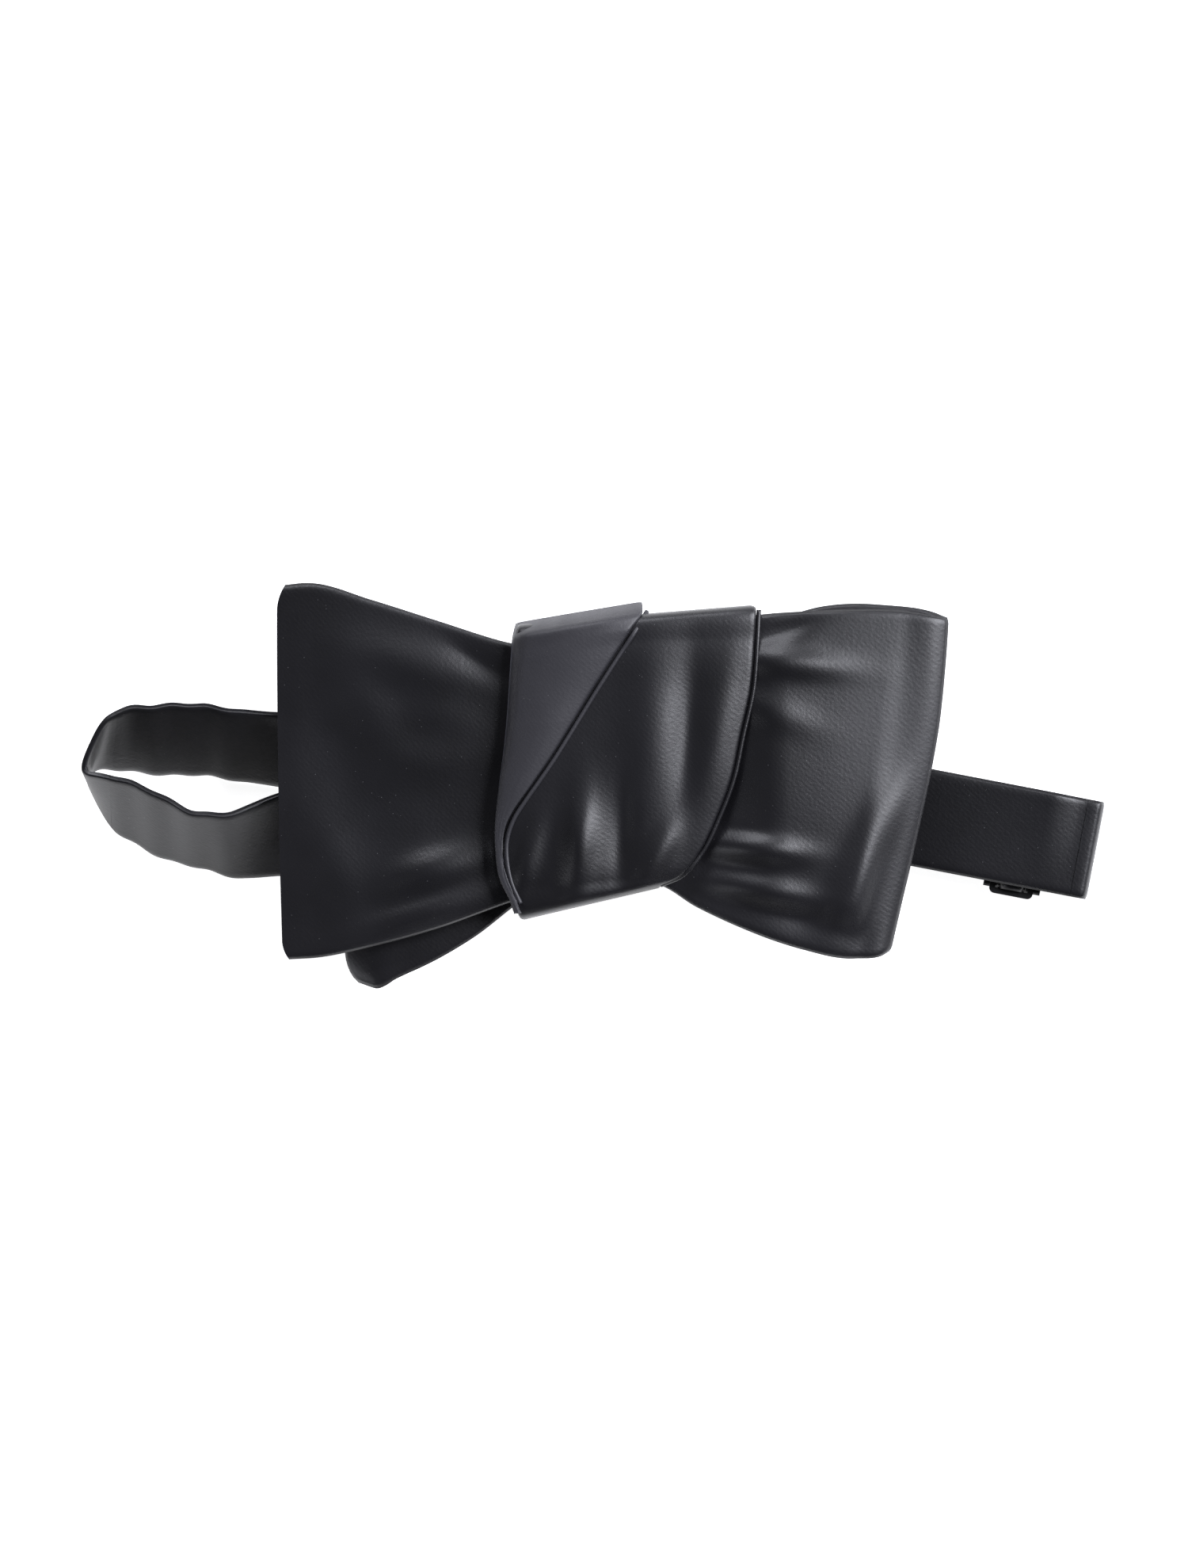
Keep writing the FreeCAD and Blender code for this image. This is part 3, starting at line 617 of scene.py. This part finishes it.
def band_right():
    """Front strap, crisp fold, and the short strap with its adjuster and hook behind it."""
    count = 120
    route = [(-84, 5.1), (-60, 5.2), (-40, 5.55), (-20, 5.85), (-3.3, 5.95)]
    front = right_grid(route, count, wobble=0.25)
    along = np.linspace(0, 1, count)[:, None]
    tilt = along**0.5 * (1 - smooth(12 * along - 11))  # grows along the strap, and goes again at the fold
    front[:, :, 2] += tilt * np.linspace(-0.1, 1.3, RIGHT_ACROSS)
    piece = cloth("neckband_front_right", front, BAND_THICK, BAND, lips=BAND_LIPS)
    declare(piece, "bow", "front_right_strap_silk")
    lining("front_right_lining", front, 0.4, "bow", "front_right_strap_interlining")

    arc = [(-3.25, 5.95), (-1.9, 5.95)]
    for k in range(1, 12):
        a = math.pi / 2 - math.pi * k / 12
        arc.append((-1.5 + 0.95 * math.cos(a), 3.25 + 2.7 * math.sin(a)))
    arc += [(-1.9, 0.56), (-3.25, 0.56)]
    fold = right_grid(arc, 40)
    piece = cloth("neckband_right_fold", fold, BAND_THICK, BAND, lips=BAND_LIPS)
    declare(piece, None, "neckband_right_turn")
    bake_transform(piece)

    run = right_grid([(-3.3, 0.56), (-5.5, 0.75), (-8.4, 1.48)], 20)
    piece = cloth("short_strap", run, BAND_THICK, BAND, lips=0.3)
    declare(piece, None, "short_strap_run")
    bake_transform(piece)

    hump = [(5.3, 1.5), (3.4, 1.75), (2.3, 2.2), (2.1, 3.0), (1.6, 4.0), (0, 4.45)]
    hump += [(-a, b) for a, b in hump[-2::-1]]
    hump[-1] = (-5.1, 1.75)
    crossing = right_grid([(ADJUSTER + a, b) for a, b in hump], 60, width=17.9, down=1.0)
    piece = cloth("strap_over_adjuster", crossing, 0.8, BAND, lips=0.2)
    declare(piece, "adjuster", "adjuster_crossing")
    hook = [(-5, 0.7), (-3, 0.8), (-1.2, 1.8), (0, 2.25), (0.85, 2.4), (0.85, 3.5), (0, 3.75), (-0.8, 3.6)]
    end = right_grid([(ADJUSTER + a, b) for a, b in hook], 50, width=17.4, down=1.0)
    piece = cloth("strap_end", end, 0.4, BAND)
    declare(piece, "adjuster", "adjuster_strap_end")

    start, end = strap_point(ADJUSTER - 6), strap_point(HOOK_BAR + 3.2)
    for name, heights in (("strap_outer", (1.75, 2.5, 3.0)), ("strap_return", (0.56, 0.56, 0.56))):
        run = right_grid(list(zip((ADJUSTER - 5.1, -35, HOOK_BAR + 3), heights)), 50)
        piece = cloth(name, run, BAND_THICK, BAND, lips=0.3)
        declare(piece, None, name + "_run")
        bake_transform(piece)
    turn = [(2.98, 3.0), (1.0, 3.0), (-0.6, 2.75), (-1.35, 1.8), (-0.6, 0.8), (1.0, 0.56), (2.98, 0.56)]
    turn = right_grid([(HOOK_BAR + a, b) for a, b in turn], 40)
    piece = cloth("strap_round_hook", turn, BAND_THICK, BAND, lips=0.3)
    declare(piece, "hook_loop", "hook_strap_turn")


def strap_point(distance):
    """A point on the right-hand straps' centre line, in the row's frame."""
    x = RIGHT_END[0] + distance * math.cos(RIGHT_ANGLE) + OFFSET[0]
    y = RIGHT_END[1] + distance * math.sin(RIGHT_ANGLE) + OFFSET[1]
    return (x * MM, y * MM, 1.0 * MM)


def finish_nodes():
    """CAD pieces whose shape is already right keep it and take a surface."""
    looks = {
        "slide_adjuster": ENAMEL,
        "closure_hook": ENAMEL,
        "closure_eye": ENAMEL,
        "knot_tack_stitches": THREAD,
        "eye_bar_tack": THREAD,
        "eye_strap_end": BAND,
    }
    for node, material in looks.items():
        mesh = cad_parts[node].data
        mesh.materials.clear()
        mesh.materials.append(material)


front_bow()
back_bow()
wrap_surface = knot_wrap()
knot_lapel(wrap_surface)
wrap_edge(wrap_surface)
band_left()
band_right()
finish_nodes()


# ------------------------------------------------------------------------------------------------ stage
def floor():
    bpy.ops.mesh.primitive_plane_add(size=6, location=(0, 0, -0.0002))
    plane = bpy.context.object
    plane.name = "floor"
    m = bpy.data.materials.new("floor")
    m.use_nodes = True
    shader = m.node_tree.nodes["Principled BSDF"]
    shader.inputs["Base Color"].default_value = (0.9, 0.9, 0.9, 1)
    shader.inputs["Roughness"].default_value = 0.9
    shader.inputs["Specular IOR Level"].default_value = 0.0
    shader.inputs["Emission Color"].default_value = (1, 1, 1, 1)
    shader.inputs["Emission Strength"].default_value = 0.92
    plane.data.materials.append(m)


def area_light(name, place, size, energy, target=(0, 0, 0.01)):
    light = bpy.data.lights.new(name, "AREA")
    light.shape = "RECTANGLE"
    light.size, light.size_y = size
    light.energy = energy
    light.color = (0.92, 0.93, 1.0)
    lamp = bpy.data.objects.new(name, light)
    lamp.location = place
    lamp.rotation_euler = (Vector(target) - Vector(place)).to_track_quat("-Z", "Y").to_euler()
    bpy.context.scene.collection.objects.link(lamp)


def camera():
    """Straight above, far enough back that the bow's height hardly shows."""
    data = bpy.data.cameras.new("camera")
    height = 1.4
    across = 214.5 * MM  # what the picture's width covers, level with the bow
    level = 15 * MM
    data.sensor_fit = "HORIZONTAL"
    data.sensor_width = 36
    data.lens = data.sensor_width * (height - level) / across
    cam = bpy.data.objects.new("camera", data)
    cam.location = (-0.3 * MM, 0.48 * MM, height)
    bpy.context.scene.collection.objects.link(cam)
    bpy.context.scene.camera = cam


floor()
area_light("right_box", (1.0, 0.42, 0.9), (0.65, 0.95), 29)
area_light("left_box", (-0.85, -0.5, 0.55), (0.3, 0.7), 2)
area_light("top_box", (-0.2, 1.1, 0.8), (0.8, 0.4), 9)
area_light("low_box", (0.15, -1.0, 0.6), (0.7, 0.25), 0.4)
world = bpy.data.worlds.new("world")
world.use_nodes = True
world.node_tree.nodes["Background"].inputs["Color"].default_value = (1, 1, 1, 1)
world.node_tree.nodes["Background"].inputs["Strength"].default_value = 0.02
bpy.context.scene.world = world
bpy.context.scene.view_settings.view_transform = "Standard"
camera()
